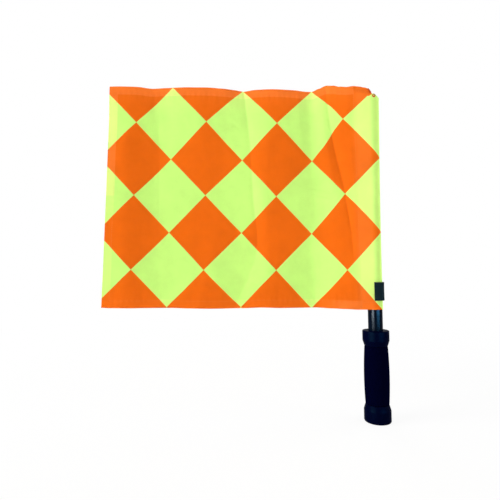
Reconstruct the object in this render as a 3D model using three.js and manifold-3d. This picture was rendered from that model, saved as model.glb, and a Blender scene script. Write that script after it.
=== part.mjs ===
// Linesman flag: a checked cloth whose hoist edge is folded into a closed sleeve, slipped over a
// hollow plastic pole that ends in a barrel-shaped foam grip between two collars.
// Millimetres. +Z runs up the pole, the cloth reaches towards -X and its front faces -Y.
// The origin is the middle of the butt's flat end, on the pole's axis.

import * as THREE from 'three';
import Module from 'manifold-3d';
import { mergeVertices } from 'three/addons/utils/BufferGeometryUtils.js';

// Clearances between pieces that touch
const touchGap = 0.3;
const cutOverrun = 2;

// Pole and its top cap
const poleDiameter = 19;
const poleWall = 1.6;
const poleShowing = 31.1;
const capHeadHeight = 2.2;
const capHeadEdge = 0.9;
const capPlugLength = 14;
const capPlugTaper = 1.2;

// Butt cap: a cup round the pole's foot, with a spigot up its bore
const buttDiameter = 34.7;
const buttBandHeight = 15.6;
const buttShoulderHeight = 7.1;
const buttEdgeRound = 2.2;
const buttFloor = 6;
const buttSpigotLength = 12;
const buttNeckDiameter = 30.3;

// Foam grip
const gripLength = 75;
const gripBellyDiameter = 32.6;
const gripEndRound = 0.8;
const gripBellyShare = 0.48;

// Collar above the grip
const collarDiameter = 34.5;
const collarBandHeight = 13.1;
const collarShoulderHeight = 7.2;
const collarNeckDiameter = 29.9;
const collarEdgeRound = 0.8;

// Cloth
const clothThickness = 0.5;
const flagHeight = 300;
const panelWidth = 332;
const flySlant = 5;
const hemWidth = 11;
const hemThickness = 1.1;
const hemStep = 0.5;
const foldDepth = 10;

// Sleeve, a fold of the same cloth round the pole
const sleeveClearance = 0.3;
const seamSetback = 10.6;
const seamForward = 6;
const seamStitchSetback = 0.8;
const backTail = 2.2;
const frontTail = 3.4;
const panelHingeGap = 0.9;
const crownHeight = 12.6;
const crownFoldSetback = 11.5;
const crownPinch = 1;

// Sewing thread, drawn as one flat run for each line of stitches
const threadWidth = 0.8;
const threadThickness = 0.35;
const stitchInset = 1.6;
const crownStitchMargin = 2;

// Keeper tab: hook tape folded round the hoist edge, pressed on a patch of loop tape
const tapeWidth = 24.4;
const tapeThickness = 0.7;
const loopPatchThickness = 0.5;
const tapeMargin = 1.2;
const tabAboveMouth = 8.6;
const tabHingeGap = 0.5;
const tabStitchInset = 2.4;

// Angles round the pole, from the front towards the hoist side, in degrees
const tabFrontAngle = -17.5;
const patchEndAngle = 58;
const tabStepAngle = 74;
const tabHingeAngle = 90;
const tabBackAngle = 196;

// Fineness
const roundSegments = 48;
const pocketStraightSteps = 3;
const pocketArcSteps = 18;
const sleeveRows = 3;
const crownRows = 4;
const panelRows = 7;
const panelColumns = 38;
const tapeSteps = 12;
const edgeSteps = 4;
const gripSteps = 12;

// Fold lines from the sleeve to the fly. Each has its place across the panel and its rise
// towards the back, as shares of the panel's width and of the fold depth, at the bottom,
// the middle and the top of the cloth.
const foldLineShares = [
  { across: [0.03, 0.043, 0.052], rise: [-0.45, -0.25, -0.66] },
  { across: [0.068, 0.066, 0.102], rise: [-0.4, -0.5, -0.9] },
  { across: [0.18, 0.138, 0.168], rise: [0.15, 0.25, 1] },
  { across: [0.308, 0.305, 0.32], rise: [-0.2, -0.25, 0.3] },
  { across: [0.455, 0.413, 0.445], rise: [0.3, 0.45, 1.2] },
  { across: [0.608, 0.63, 0.62], rise: [-0.1, -0.15, 0] },
  { across: [0.82, 0.814, 0.817], rise: [0.25, 0.3, 0.65] },
  { across: [0.88, 0.874, 0.874], rise: [-0.1, -0.15, 0.05] },
  { across: [1, 1, 1], rise: [0, 0.05, 0.12] },
];

// Sizes and places that follow
const poleRadius = poleDiameter / 2;
const poleBore = poleRadius - poleWall;
const poleFoot = buttFloor + touchGap;
const buttTop = buttBandHeight + buttShoulderHeight;
const gripBottom = buttTop + touchGap;
const gripTop = gripBottom + gripLength;
const collarBottom = gripTop + touchGap;
const collarTop = collarBottom + collarShoulderHeight + collarBandHeight;

const flagBottom = collarTop + poleShowing;
const flagTop = flagBottom + flagHeight;
const crownStart = flagTop - crownHeight;
const capTop = crownStart - touchGap;
const poleTop = capTop - capHeadHeight - touchGap;
const sleeveRadius = poleRadius + sleeveClearance + clothThickness / 2;
const sleeveFace = sleeveRadius + clothThickness / 2;
const layerPitch = clothThickness + touchGap;
const seamX = -(sleeveRadius + seamSetback);
const seamFrontY = -seamForward;
const seamBackY = seamFrontY + layerPitch;
const panelHingeX = seamX - frontTail - panelHingeGap / 2;
const panelHoistX = panelHingeX - panelHingeGap / 2;
const tabBottom = flagBottom + tabAboveMouth;

const wasm = await Module();
wasm.setup();

const clothYellow = new THREE.Color(0xd2ff78);
const threadYellow = new THREE.Color(0xe6ff8c);
const threadOrange = new THREE.Color(0xb4440f);
const glossBlack = new THREE.Color(0x0b1016);
const satinBlack = new THREE.Color(0x070b14);
const foamBlack = new THREE.Color(0x04050a);
const tapeBlack = new THREE.Color(0x14282d);

function material(color, roughness) {
  return new THREE.MeshStandardMaterial({ color, roughness, metalness: 0 });
}

function part(name, geometry, color, roughness) {
  const mesh = new THREE.Mesh(geometry, material(color, roughness));
  mesh.name = name;
  return mesh;
}

function mix(start, end, share) {
  return start + (end - start) * share;
}

// Turned pieces

// Points of a quarter round from one corner tangent to the other, round a centre
function quarterRound(centreX, centreY, radius, startDegrees, endDegrees) {
  const points = [];
  for (let step = 0; step <= edgeSteps; step += 1) {
    const angle = THREE.MathUtils.degToRad(mix(startDegrees, endDegrees, step / edgeSteps));
    points.push(new THREE.Vector2(
      centreX + radius * Math.cos(angle),
      centreY + radius * Math.sin(angle),
    ));
  }
  return points;
}

function corners(...pairs) {
  return pairs.map(([radius, height]) => new THREE.Vector2(radius, height));
}

// A turned piece from its half section, listed bottom to top outside and top to bottom inside
function turned(points) {
  const closed = points[0].x > 0 ? [...points, points[0].clone()] : points;
  const lathe = new THREE.LatheGeometry(closed, roundSegments);
  lathe.rotateX(Math.PI / 2);
  return outward(lathe);
}

// The same geometry with only places left, shared corners merged and its faces pointing out
function outward(geometry) {
  geometry.deleteAttribute('normal');
  geometry.deleteAttribute('uv');
  const merged = mergeVertices(geometry);
  const place = merged.attributes.position;
  const corner = [new THREE.Vector3(), new THREE.Vector3(), new THREE.Vector3()];
  const kept = [];
  let volume = 0;
  for (let face = 0; face < merged.index.count; face += 3) {
    const ids = [0, 1, 2].map((side) => merged.index.getX(face + side));
    if (new Set(ids).size < 3) continue;
    ids.forEach((id, side) => corner[side].fromBufferAttribute(place, id));
    volume += corner[0].dot(corner[1].clone().cross(corner[2]));
    kept.push(ids);
  }
  merged.setIndex(kept.flatMap(([a, b, c]) => (volume < 0 ? [a, c, b] : [a, b, c])));
  merged.computeVertexNormals();
  return merged;
}

function poleTube() {
  return turned(corners(
    [poleBore, poleFoot],
    [poleRadius, poleFoot],
    [poleRadius, poleTop],
    [poleBore, poleTop],
  ));
}

// A plug in the pole's open top, with a rounded head that the sleeve rests on
function poleTopCap() {
  const plugRadius = poleBore - touchGap;
  const headBottom = poleTop + touchGap;
  return turned([
    ...corners(
      [0, poleTop - capPlugLength],
      [plugRadius - capPlugTaper, poleTop - capPlugLength],
      [plugRadius, poleTop - capPlugLength + capPlugTaper],
      [plugRadius, headBottom],
      [poleRadius, headBottom],
    ),
    ...quarterRound(poleRadius - capHeadEdge, capTop - capHeadEdge, capHeadEdge, 0, 90),
    ...corners([0, capTop]),
  ]);
}

// A cup with a rounded lower edge; the pole stands in the ring between its wall and its spigot
function buttCap() {
  const radius = buttDiameter / 2;
  const socket = poleRadius + touchGap;
  const spigot = poleBore - touchGap;
  const spigotTop = buttFloor + buttSpigotLength;
  return turned([
    ...corners([0, 0]),
    ...quarterRound(radius - buttEdgeRound, buttEdgeRound, buttEdgeRound, -90, 0),
    ...corners(
      [radius, buttBandHeight],
      [buttNeckDiameter / 2, buttTop],
      [socket, buttTop],
      [socket, buttFloor],
      [spigot, buttFloor],
      [spigot, spigotTop - capPlugTaper],
      [spigot - capPlugTaper, spigotTop],
      [0, spigotTop],
    ),
  ]);
}

function gripTopCollar() {
  const radius = collarDiameter / 2;
  const bore = poleRadius + touchGap;
  return turned([
    ...corners(
      [bore, collarBottom],
      [collarNeckDiameter / 2, collarBottom],
      [radius, collarBottom + collarShoulderHeight],
    ),
    ...quarterRound(radius - collarEdgeRound, collarTop - collarEdgeRound, collarEdgeRound, 0, 90),
    ...corners([bore, collarTop]),
  ]);
}

// Radius of the grip's barrel outline at a share of its length, full at the belly
function gripRadius(share) {
  const belly = gripBellyDiameter / 2;
  const end = (share < gripBellyShare ? buttNeckDiameter : collarNeckDiameter) / 2;
  const fromBelly = share < gripBellyShare
    ? (gripBellyShare - share) / gripBellyShare
    : (share - gripBellyShare) / (1 - gripBellyShare);
  return belly - (belly - end) * fromBelly * fromBelly;
}

function gripBarrel() {
  const bore = poleRadius + touchGap;
  const wall = [];
  for (let step = 0; step <= gripSteps; step += 1) {
    const share = step / gripSteps;
    const height = mix(gripBottom + gripEndRound, gripTop - gripEndRound, share);
    wall.push(new THREE.Vector2(gripRadius(share), height));
  }
  return turned([
    ...corners([bore, gripBottom], [gripRadius(0) - gripEndRound, gripBottom]),
    ...wall,
    ...corners([gripRadius(1) - gripEndRound, gripTop], [bore, gripTop]),
  ]);
}

// Cloth, thread and tape

// A closed sheet between two facing grids of points; pointAt(row, column, side) has side 0 in front
function sheetGeometry(rows, columns, pointAt) {
  const across = columns + 1;
  const perSide = (rows + 1) * across;
  const places = [];
  for (const side of [0, 1]) {
    for (let row = 0; row <= rows; row += 1) {
      for (let column = 0; column <= columns; column += 1) {
        places.push(...pointAt(row, column, side).toArray());
      }
    }
  }
  const id = (row, column, side) => side * perSide + row * across + column;
  const faces = [];
  const quad = (a, b, c, d) => faces.push(a, b, c, a, c, d);
  for (let row = 0; row < rows; row += 1) {
    for (let column = 0; column < columns; column += 1) {
      const next = column + 1;
      quad(id(row, column, 0), id(row, next, 0), id(row + 1, next, 0), id(row + 1, column, 0));
      quad(id(row, column, 1), id(row + 1, column, 1), id(row + 1, next, 1), id(row, next, 1));
    }
    quad(id(row, 0, 0), id(row + 1, 0, 0), id(row + 1, 0, 1), id(row, 0, 1));
    quad(id(row, columns, 0), id(row, columns, 1), id(row + 1, columns, 1), id(row + 1, columns, 0));
  }
  for (let column = 0; column < columns; column += 1) {
    const next = column + 1;
    quad(id(0, column, 0), id(0, column, 1), id(0, next, 1), id(0, next, 0));
    quad(id(rows, column, 0), id(rows, next, 0), id(rows, next, 1), id(rows, column, 1));
  }
  const geometry = new THREE.BufferGeometry();
  geometry.setAttribute('position', new THREE.Float32BufferAttribute(places, 3));
  geometry.setIndex(faces);
  return outward(geometry);
}

// Front and back points of a cloth from its middle line at each height, listed towards +X in front
function clothGrid(heights, pathAt, thicknessAt) {
  const front = [];
  const back = [];
  heights.forEach((height, row) => {
    const path = pathAt(height);
    front.push([]);
    back.push([]);
    path.forEach((point, column) => {
      const before = path[Math.max(column - 1, 0)];
      const after = path[Math.min(column + 1, path.length - 1)];
      const along = after.clone().sub(before).normalize();
      const rearward = thicknessAt(row, column) - clothThickness / 2;
      front[row].push(new THREE.Vector3(
        point.x + along.y * clothThickness / 2,
        point.y - along.x * clothThickness / 2,
        height,
      ));
      back[row].push(new THREE.Vector3(
        point.x - along.y * rearward,
        point.y + along.x * rearward,
        height,
      ));
    });
  });
  return { front, back };
}

function clothGeometry(grid) {
  const rows = grid.front.length - 1;
  const columns = grid.front[0].length - 1;
  const sides = [grid.front, grid.back];
  return sheetGeometry(rows, columns, (row, column, side) => sides[side][row][column]);
}

// A line of stitches lying on a cloth's front: middle points with their neighbours to either side
function stitchGeometry(stations) {
  const layers = stations.map(({ middle, low, high, outwards }) => {
    const edge = (towards) => towards.clone().sub(middle).setLength(threadWidth / 2).add(middle);
    const inner = [edge(low), middle.clone(), edge(high)];
    return [touchGap + threadThickness, touchGap].map((lift) => (
      inner.map((point) => point.clone().addScaledVector(outwards, lift))
    ));
  });
  return sheetGeometry(2, stations.length - 1, (row, column, side) => layers[column][side][row]);
}

function gridStation(grid, row, column, lowRow, lowColumn, highRow, highColumn) {
  const middle = grid.front[row][column];
  return {
    middle,
    low: grid.front[lowRow][lowColumn],
    high: grid.front[highRow][highColumn],
    outwards: middle.clone().sub(grid.back[row][column]).normalize(),
  };
}

function stitchAlongRow(grid, row, firstColumn, lastColumn) {
  const stations = [];
  for (let column = firstColumn; column <= lastColumn; column += 1) {
    stations.push(gridStation(grid, row, column, row - 1, column, row + 1, column));
  }
  return stitchGeometry(stations);
}

function stitchAlongColumn(grid, column, firstRow, lastRow) {
  const stations = [];
  for (let row = firstRow; row <= lastRow; row += 1) {
    stations.push(gridStation(grid, row, column, row, column + 1, row, column - 1));
  }
  return stitchGeometry(stations);
}

// Sleeve

// Where a straight run of cloth from the seam meets the round part over the pole, as an angle
function tangentAngle(seamY, turn) {
  const reach = Math.hypot(seamX, seamY);
  return Math.atan2(seamY, seamX) + turn * Math.acos(sleeveRadius / reach);
}

// The pocket's middle line round the pole, from the front layer at the seam to the back layer
function roundPocket() {
  const start = tangentAngle(seamFrontY, 1);
  const end = tangentAngle(seamBackY, -1) + 2 * Math.PI;
  const middle = new THREE.Vector2(sleeveRadius, 0);
  const onPole = (angle) => middle.clone().rotateAround(new THREE.Vector2(), angle);
  const frontSeam = new THREE.Vector2(seamX, seamFrontY);
  const backSeam = new THREE.Vector2(seamX, seamBackY);
  const points = [];
  for (let step = 0; step < pocketStraightSteps; step += 1) {
    points.push(frontSeam.clone().lerp(onPole(start), step / pocketStraightSteps));
  }
  for (let step = 0; step <= pocketArcSteps; step += 1) {
    points.push(onPole(mix(start, end, step / pocketArcSteps)));
  }
  for (let step = 1; step <= pocketStraightSteps; step += 1) {
    points.push(onPole(end).lerp(backSeam, step / pocketStraightSteps));
  }
  return points;
}

// The same points on the pinched top: two flat layers joined by a small round fold
function flatPocket(points, foldX) {
  const shares = [0];
  points.slice(1).forEach((point, step) => shares.push(shares[step] + point.distanceTo(points[step])));
  const middleY = (seamFrontY + seamBackY) / 2;
  const straight = foldX - crownPinch - seamX;
  const total = 2 * straight + Math.PI * crownPinch;
  return shares.map((length) => {
    const run = length / shares.at(-1) * total;
    const fromSeam = Math.min(run, total - run);
    const side = run < total / 2 ? -1 : 1;
    if (fromSeam <= straight) {
      const apart = Math.min(crownPinch, layerPitch / 2 + fromSeam);
      return new THREE.Vector2(seamX + fromSeam, middleY + side * apart);
    }
    const turn = (fromSeam - straight) / crownPinch;
    return new THREE.Vector2(
      foldX - crownPinch + crownPinch * Math.sin(turn),
      middleY + side * crownPinch * Math.cos(turn),
    );
  });
}

function sleevePath(height) {
  const rise = THREE.MathUtils.clamp((height - crownStart) / crownHeight, 0, 1);
  const round = roundPocket();
  const flat = flatPocket(round, mix(sleeveRadius, sleeveRadius - crownFoldSetback, rise));
  const pinched = THREE.MathUtils.smoothstep(rise, 0, 1);
  return [
    new THREE.Vector2(seamX - frontTail, seamFrontY),
    new THREE.Vector2(seamX - seamStitchSetback, seamFrontY),
    ...round.map((point, step) => point.clone().lerp(flat[step], pinched)),
    new THREE.Vector2(seamX - backTail, seamBackY),
  ];
}

function sleeveHeights() {
  const heights = [flagBottom, flagBottom + hemWidth - stitchInset];
  for (let row = 1; row <= sleeveRows; row += 1) {
    heights.push(mix(flagBottom + hemWidth, crownStart, row / sleeveRows));
  }
  for (let row = 1; row <= crownRows; row += 1) {
    heights.push(crownStart + crownHeight * row / crownRows);
  }
  return heights;
}

const sleeve = clothGrid(sleeveHeights(), sleevePath, () => clothThickness);
const sleeveTopRow = sleeve.front.length - 1;
const seamStitchColumn = 1;
const pocketColumn = seamStitchColumn + 1;
const arcColumn = pocketColumn + pocketStraightSteps;
const foldColumn = arcColumn + pocketArcSteps / 2;
const backSeamColumn = arcColumn + pocketArcSteps + pocketStraightSteps;
const hemStitchRow = 1;

// The crown's line of stitches stops short of the folded corner
function crownStitching() {
  const row = sleeveTopRow - 1;
  const limit = sleeve.front[row][foldColumn].x - crownStitchMargin;
  let last = pocketColumn;
  while (last + 1 < foldColumn && sleeve.front[row][last + 1].x < limit) last += 1;
  return stitchAlongRow(sleeve, row, seamStitchColumn, last);
}

// The mouth's hem is sewn in front up to the keeper tab and behind from its other end
function frontHemStitching() {
  return stitchAlongRow(sleeve, hemStitchRow, pocketColumn, arcColumn - 1);
}

function backHemStitching() {
  const tabEnd = THREE.MathUtils.degToRad(tabBackAngle - 90) + threadWidth / sleeveRadius;
  const start = tangentAngle(seamFrontY, 1);
  const end = tangentAngle(seamBackY, -1) + 2 * Math.PI;
  const first = arcColumn + Math.ceil((tabEnd - start) / (end - start) * pocketArcSteps);
  return stitchAlongRow(sleeve, hemStitchRow, first, backSeamColumn);
}

// Panel

// A value given at the bottom, the middle and the top of the cloth, at a share of its height
function atHeight([bottom, middle, top], share) {
  return bottom * (1 - share) * (1 - 2 * share)
    + middle * 4 * share * (1 - share)
    + top * share * (2 * share - 1);
}

// How far the cloth stands back from the pole's middle plane
function foldY(across, share) {
  let before = { across: 0, y: seamFrontY };
  for (const line of foldLineShares) {
    const after = { across: atHeight(line.across, share), y: foldDepth * atHeight(line.rise, share) };
    if (across <= after.across) {
      const step = (across - before.across) / (after.across - before.across);
      return mix(before.y, after.y, THREE.MathUtils.smoothstep(step, 0, 1));
    }
    before = after;
  }
  return before.y;
}

// Distances from the fly edge to the columns of the hem, then even steps to the hoist end
function panelPath(height) {
  const share = (height - flagBottom) / flagHeight;
  const width = panelWidth + flySlant * (1 - share);
  const hemColumns = [0, hemWidth - stitchInset, hemWidth];
  const distances = [...hemColumns];
  for (let column = 0; column <= panelColumns; column += 1) {
    distances.push(mix(hemWidth + hemStep, width, column / panelColumns));
  }
  return distances.map((distance) => (
    new THREE.Vector2(panelHoistX - width + distance, foldY(Math.max(1 - distance / width, 0), share))
  ));
}

function panelHeights() {
  const edges = [0, hemWidth - stitchInset, hemWidth];
  const heights = edges.map((edge) => flagBottom + edge);
  for (let row = 0; row <= panelRows; row += 1) {
    heights.push(mix(flagBottom + hemWidth + hemStep, flagTop - hemWidth - hemStep, row / panelRows));
  }
  return [...heights, ...edges.map((edge) => flagTop - edge).reverse()];
}

// The hems thin out at the hoist end, which leaves room to swing
const hemRows = 2;
const panelTopRow = panelHeights().length - 1;
const panelLastColumn = panelPath(flagBottom).length - 1;
const panel = clothGrid(panelHeights(), panelPath, (row, column) => {
  const inHem = row <= hemRows || row >= panelTopRow - hemRows || column <= hemRows;
  return inHem && column < panelLastColumn ? hemThickness : clothThickness;
});
const flyStitchColumn = 1;
const hemStitchEnd = panelLastColumn - 1;

// Keeper tab

// A strip of tape round the sleeve; radiusAt gives its inner face at an angle from the front
function tapeGeometry(startDegrees, endDegrees, radiusAt, thickness, bottom, top) {
  return sheetGeometry(1, tapeSteps, (row, column, side) => {
    const degrees = mix(startDegrees, endDegrees, column / tapeSteps);
    const angle = THREE.MathUtils.degToRad(degrees - 90);
    const radius = radiusAt(degrees) + (side ? 0 : thickness);
    return new THREE.Vector3(radius * Math.cos(angle), radius * Math.sin(angle), row ? top : bottom);
  });
}

const tapeSeat = sleeveFace + touchGap;
const flapSeat = tapeSeat + loopPatchThickness + touchGap;
const hingeHalfAngle = THREE.MathUtils.radToDeg(tabHingeGap / 2 / tapeSeat);
const tapeTop = tabBottom + tapeWidth;

function keeperLoopPatch() {
  const start = tabFrontAngle + THREE.MathUtils.radToDeg(tapeMargin / tapeSeat);
  return tapeGeometry(
    start, patchEndAngle, () => tapeSeat, loopPatchThickness, tabBottom + tapeMargin, tapeTop - tapeMargin,
  );
}

// The flap lies on the patch in front and steps down to the sleeve before its fold at the hoist edge
function keeperTabFlap() {
  const seat = (degrees) => {
    const down = THREE.MathUtils.smoothstep(degrees, patchEndAngle + hingeHalfAngle * 2, tabStepAngle);
    return mix(flapSeat, tapeSeat, down);
  };
  const end = tabHingeAngle - hingeHalfAngle;
  return tapeGeometry(tabFrontAngle, end, seat, tapeThickness, tabBottom, tapeTop);
}

function keeperTabBase() {
  return tapeGeometry(
    tabHingeAngle + hingeHalfAngle, tabBackAngle, () => tapeSeat, tapeThickness, tabBottom, tapeTop,
  );
}

function solid(geometry) {
  return new wasm.Manifold(new wasm.Mesh({
    numProp: 3,
    vertProperties: new Float32Array(geometry.attributes.position.array),
    triVerts: new Uint32Array(geometry.index.array),
  }));
}

function solidGeometry(manifold) {
  const mesh = manifold.getMesh();
  const geometry = new THREE.BufferGeometry();
  geometry.setAttribute('position', new THREE.BufferAttribute(mesh.vertProperties, 3));
  geometry.setIndex(new THREE.BufferAttribute(mesh.triVerts, 1));
  geometry.computeVertexNormals();
  return geometry;
}

// A box of stitches that holds the tab's back leg on the sleeve
function keeperTabStitching() {
  const seat = tapeSeat + tapeThickness + touchGap;
  const degreesOf = (length) => THREE.MathUtils.radToDeg(length / seat);
  const start = tabHingeAngle + degreesOf(tabStitchInset);
  const end = tabBackAngle - degreesOf(tabStitchInset);
  const bottom = tabBottom + tabStitchInset;
  const top = tapeTop - tabStitchInset;
  const outer = tapeGeometry(start, end, () => seat, threadThickness, bottom, top);
  const window = tapeGeometry(
    start + degreesOf(threadWidth),
    end - degreesOf(threadWidth),
    () => seat - cutOverrun,
    threadThickness + 2 * cutOverrun,
    bottom + threadWidth,
    top - threadWidth,
  );
  return solidGeometry(solid(outer).subtract(solid(window)));
}

const handle = new THREE.Group();
handle.add(
  part('pole_tube', poleTube(), glossBlack, 0.18),
  part('pole_top_cap', poleTopCap(), satinBlack, 0.4),
  part('butt_cap', buttCap(), satinBlack, 0.38),
  part('grip_barrel', gripBarrel(), foamBlack, 0.9),
  part('grip_top_collar', gripTopCollar(), satinBlack, 0.38),
);

function sewn(name, geometry) {
  return part(name, geometry, threadYellow, 0.6);
}

const seamStitchEnd = sleeveTopRow - 2;
const cornerTack = stitchAlongColumn(sleeve, foldColumn, sleeveTopRow - crownRows, sleeveTopRow);
const topHemRow = panelTopRow - 1;
const flyHemStitching = stitchAlongColumn(panel, flyStitchColumn, hemRows, panelTopRow - hemRows);

const flag = new THREE.Group();
flag.add(
  part('flag_sleeve', clothGeometry(sleeve), clothYellow, 0.8),
  sewn('sleeve_seam_stitching', stitchAlongColumn(sleeve, seamStitchColumn, 0, seamStitchEnd)),
  sewn('sleeve_crown_stitching', crownStitching()),
  part('sleeve_corner_tack', cornerTack, threadOrange, 0.6),
  sewn('sleeve_hem_stitching_front', frontHemStitching()),
  sewn('sleeve_hem_stitching_back', backHemStitching()),
  part('flag_panel', clothGeometry(panel), clothYellow, 0.8),
  sewn('bottom_hem_stitching', stitchAlongRow(panel, 1, flyStitchColumn, hemStitchEnd)),
  sewn('top_hem_stitching', stitchAlongRow(panel, topHemRow, flyStitchColumn, hemStitchEnd)),
  sewn('fly_hem_stitching', flyHemStitching),
);

const keeper = new THREE.Group();
keeper.add(
  part('keeper_loop_patch', keeperLoopPatch(), tapeBlack, 0.95),
  part('keeper_tab_flap', keeperTabFlap(), tapeBlack, 0.85),
  part('keeper_tab_base', keeperTabBase(), tapeBlack, 0.85),
  part('keeper_tab_stitching', keeperTabStitching(), tapeBlack, 0.6),
);

const linesmanFlag = new THREE.Group();
linesmanFlag.add(handle, flag, keeper);

export default linesmanFlag;
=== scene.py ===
# Linesman flag: looks of the checked cloth, its stitching, the pole, the grip and the keeper tab.
# Lengths are in millimetres until a mesh is made, and in metres from then on.

import math
import random

import bpy
import numpy as np
from mathutils import Matrix, Vector, kdtree, noise


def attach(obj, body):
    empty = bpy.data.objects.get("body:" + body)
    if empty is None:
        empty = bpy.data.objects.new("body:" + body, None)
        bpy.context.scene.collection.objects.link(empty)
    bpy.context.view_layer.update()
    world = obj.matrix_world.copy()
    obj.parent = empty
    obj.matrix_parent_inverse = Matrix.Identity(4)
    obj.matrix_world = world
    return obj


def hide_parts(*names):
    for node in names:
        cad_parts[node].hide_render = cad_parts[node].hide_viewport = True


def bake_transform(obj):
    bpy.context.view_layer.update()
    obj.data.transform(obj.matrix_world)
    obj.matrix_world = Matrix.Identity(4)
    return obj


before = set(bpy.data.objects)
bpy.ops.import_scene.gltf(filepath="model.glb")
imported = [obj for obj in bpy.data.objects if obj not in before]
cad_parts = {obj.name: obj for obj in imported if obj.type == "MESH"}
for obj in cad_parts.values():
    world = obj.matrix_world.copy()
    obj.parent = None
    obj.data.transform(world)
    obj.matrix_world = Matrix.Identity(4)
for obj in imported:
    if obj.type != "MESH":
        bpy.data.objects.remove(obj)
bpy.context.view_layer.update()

MM = 0.001
SEED = 7

# Camera, found from the corners of the checks and the outline of the handle
CAMERA_PLACE = (-185.53, -517.64, 194.01)
CAMERA_RIGHT = (0.99939, -0.03458, -0.00521)
CAMERA_UP = (0.00304, -0.06249, 0.99804)
CAMERA_BACK = (-0.03484, -0.99745, -0.06235)
CAMERA_LENS = 27.9
CAMERA_SENSOR = 36.0

# Pole, cap, grip and collars, as in the solids
POLE_RADIUS = 9.5
POLE_WALL = 1.6
POLE_FOOT = 6.3
POLE_TOP = 434.3
POLE_EDGE = 0.35
PRESS_GAP = 0.3
CAP_TOP = 436.8
CAP_HEAD_BOTTOM = 434.6
CAP_PLUG_BOTTOM = 420.3
PLUG_CHAMFER = 1.2
BUTT_RADIUS = 17.35
BUTT_BAND_TOP = 15.6
BUTT_TOP = 22.7
BUTT_NECK_RADIUS = 15.15
BUTT_SOCKET_BOTTOM = 6.0
BUTT_SPIGOT_TOP = 18.0
GRIP_BOTTOM = 23.0
GRIP_TOP = 98.0
GRIP_BELLY_RADIUS = 16.3
GRIP_BELLY_HEIGHT = 59.0
GRIP_RIM = 1.1
COLLAR_BOTTOM = 98.3
COLLAR_BAND_BOTTOM = 105.5
COLLAR_TOP = 118.6
COLLAR_RADIUS = 17.25
COLLAR_NECK_RADIUS = 14.95
RING_STEPS = 112
GRIP_RING_STEPS = 144
GRIP_WALL_STEPS = 48
GRIP_RIM_STEPS = 7
SHARP_ANGLE = 28.0

# Cloth
FLAG_BOTTOM = 149.7
FLAG_TOP = 449.7
FLAG_HEIGHT = FLAG_TOP - FLAG_BOTTOM
CLOTH_THICKNESS = 0.36
HEM_WIDTH = 11.0
HEM_THICKNESS = 1.0
HEM_STEP = 0.7
HEM_REACH = HEM_WIDTH + 0.1
# Paleness of the doubled sleeve cloth: partly its two layers, partly painted light on the sleeve's front
DOUBLED_AND_PAINTED_LIGHT_SHARE = 0.72
BOTTOM_HEM_SHARE = 0.35
# Painted light: a band below the top hem is painted paler, where the cloth leans back towards the light
TOP_PAINTED_LIGHT_SHARE = 0.35
TOP_PAINTED_LIGHT_REACH = 30.0
BOTTOM_HEM_FROM = -80.0
BOTTOM_HEM_FADE = 40.0
STITCH_FROM_EDGE = 9.4
HEM_THIN_REACH = 5.0
FLY_TOP_X = -356.3
FLY_BOTTOM_X = -362.6
FLY_FLARE_BOTTOM = 0.4
FLY_FLARE_TOP = 0.95
FLARE_REACH = 55.0
SLEEVE_RADIUS = 10.0
SEAM_TOP_X = -25.2
SEAM_BOTTOM_X = -19.4
SEAM_Y = -6.0
LAYER_PITCH = 0.46
BACK_TAIL = 2.4
CROWN_START = 437.1
CROWN_HEIGHT = FLAG_TOP - CROWN_START
CROWN_SHOULDER_X = 3.6
CROWN_SHOULDER_RISE = 0.03
CROWN_CORNER_X = -3.9
CROWN_HOLLOW = 0.85
RIM_DROP = 3.6
RIM_DROP_FROM = 424.0
CROWN_PINCH = 0.55
CROWN_PINCH_RISE = 0.55
RIM_GAP = 0.2
RIM_GAP_FADE = 1.0
RIM_FRONT_REACH = 5.0
RIM_HOIST_REACH = 4.0

# Two layers lie on each other between the seam and the pole, and one lies on the pole. The doubled cloth is
# painted paler, partly for its two layers and partly as painted light on the sleeve's lit front; over the
# pole the paleness drops, partly for the single layer and partly as painted shade where the sleeve turns away
# from the light
DOUBLED_FROM = -34.0
DOUBLED_FADE = 16.0
ON_POLE_FROM = -5.0
ON_POLE_FADE = 5.0
ON_POLE_LOSS_AND_PAINTED_SHADE = 0.85

# The cloth's grid: distances of its outer rows and columns from the edge, with the hem's stitches
# on one of them, the steps further in, rows where the crown begins, and steps round the sleeve
HEM_STOPS = (0.0, 0.35, 1.0, 2.0, 4.0, 6.5, 8.6, STITCH_FROM_EDGE, 10.2, HEM_WIDTH, HEM_WIDTH + HEM_STEP)
STITCH_STOP = HEM_STOPS.index(STITCH_FROM_EDGE)
COLUMN_STEP = 1.25
FINE_WIDTH = 12.0
FINE_COLUMNS = 20
ROW_STEP = 2.2
ROOF_LEAD = 0.05
ROOF_SHARES = (0.1, 0.2, 0.3, 0.45, 0.7, 1.0)
STRAIGHT_STEPS = 14
ARC_STEPS = 56
TAIL_STEPS = 3

# How far the sleeve's hoist edge stands out at five even heights, from the bottom to the top
HOIST_EDGE = (9.95, 9.6, 10.05, 10.9, 12.1)

# Check pattern: where each column of crossings lies, and how far the print has crept up there,
# at the heights of CROSSING_HEIGHTS
CROSSING_HEIGHTS = (200.0, 300.0, 400.0)
CROSSINGS = [
    ((-372.2, -369.6, -368.6), (0.65, 0.75, 0.45)),
    ((-325.4, -323.2, -321.0), (0.65, 0.75, 0.45)),
    ((-277.4, -275.4, -273.3), (0.4, 0.25, 0.2)),
    ((-229.8, -227.7, -226.3), (-0.15, 1.25, 2.9)),
    ((-179.3, -178.0, -176.6), (0.3, -0.6, -0.9)),
    ((-132.1, -131.2, -129.5), (-0.9, -0.7, 0.7)),
    ((-83.7, -81.9, -80.3), (-1.6, -1.5, -1.1)),
    ((-37.4, -37.7, -39.3), (-0.7, 2.2, 5.3)),
]
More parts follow.
